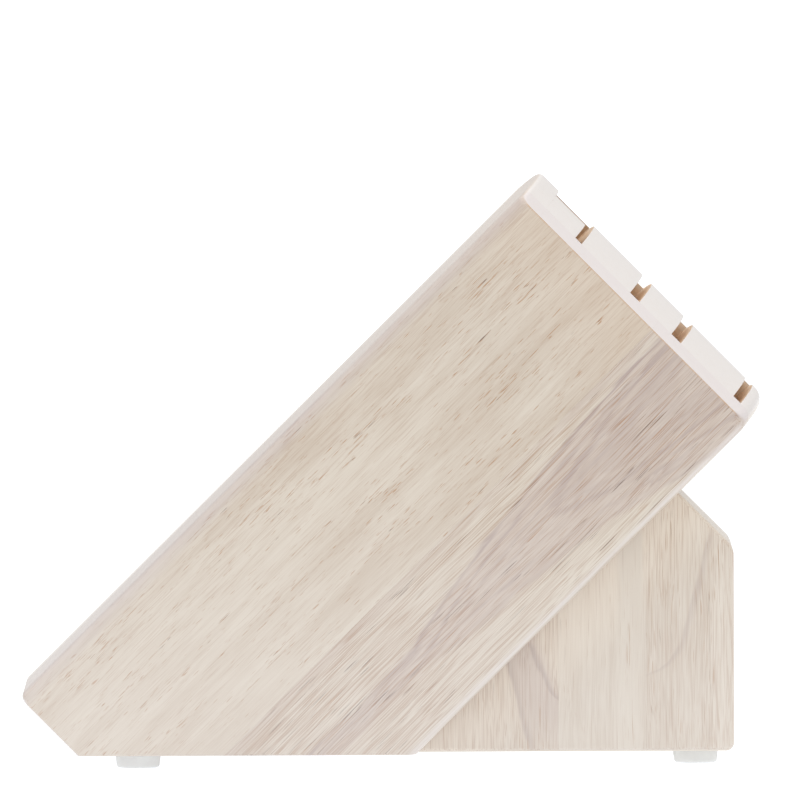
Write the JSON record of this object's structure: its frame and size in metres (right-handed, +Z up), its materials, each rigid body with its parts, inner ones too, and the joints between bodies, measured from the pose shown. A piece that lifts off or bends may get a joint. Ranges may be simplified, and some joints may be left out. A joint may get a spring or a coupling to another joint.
{
  "type": "knife block",
  "caption": "Empty slanted wooden knife block with parallel blade slots and a scissor pocket, glued to a chamfered wedge support on small round soft feet.",
  "frame": {"origin": "on the table, below the middle of the object's bounding box", "axes": "+X level, towards the slotted end that the knives go in at; +Y across the block, away from the side with the thinner board; +Z up"},
  "size_m": [0.2532, 0.09, 0.2016],
  "materials": {
    "side_wood_cream": "whitewashed long grain, satin, cream with orange-brown pores",
    "side_wood_mauve": "whitewashed long grain, satin, with a greyish mauve heartwood band",
    "core_wood": "whitewashed end grain, almost white, raw brown inside the slots",
    "support_wood": "whitewashed upright grain, satin, cream and rosy staves",
    "foot_plastic": "frosted translucent soft plastic"
  },
  "bodies": {
    "root": {"side_board_near_upper": "side_wood_cream", "side_board_far_upper": "side_wood_cream", "side_board_near_lower": "side_wood_mauve", "side_board_far_lower": "side_wood_mauve", "core_board_top": "core_wood", "core_board_upper": "core_wood", "core_board_middle": "core_wood", "core_board_lower": "core_wood", "core_board_bottom": "core_wood", "pocket_filler_near": "core_wood", "pocket_filler_far": "core_wood", "slot_spacer_third": "core_wood", "slot_spacer_fourth": "core_wood", "support_stave_inner": "support_wood", "support_stave_middle": "support_wood", "support_stave_outer": "support_wood", "foot_toe_near": "foot_plastic", "foot_toe_far": "foot_plastic", "foot_heel_near": "foot_plastic", "foot_heel_far": "foot_plastic"}
  },
  "joints": []
}
